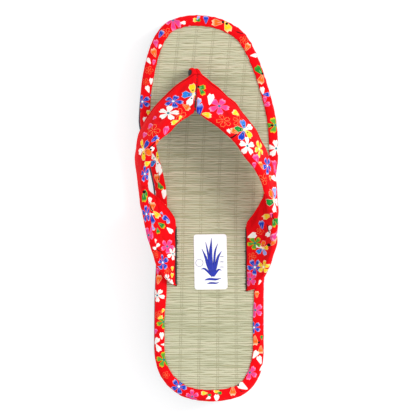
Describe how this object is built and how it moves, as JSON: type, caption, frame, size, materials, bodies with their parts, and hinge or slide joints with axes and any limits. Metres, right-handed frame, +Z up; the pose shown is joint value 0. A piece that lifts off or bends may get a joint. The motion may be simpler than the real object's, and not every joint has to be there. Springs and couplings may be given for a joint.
{
  "type": "zori sandal",
  "caption": "Right-foot zori sandal: padded floral cloth V strap with toe thong, woven rush insole in a cloth binding, dark wedge sole.",
  "frame": {"origin": "on the floor, under the middle of the sandal's overall box", "axes": "+Y towards the toes, +X towards the little toe, +Z up; the sandal stands on z = 0"},
  "size_m": [0.0948, 0.2551, 0.0586],
  "materials": {
    "sole_rubber": "matt moulded foam rubber",
    "woven_rush": "woven rush, slightly glossy",
    "floral_cotton": "printed cotton over soft padding",
    "label_film": "satin paper label"
  },
  "bodies": {
    "root": {"sole": "sole_rubber", "tatami_insole": "woven_rush", "edge_binding": "floral_cotton", "strap_upper": "floral_cotton", "size_label": "label_film"}
  },
  "joints": []
}
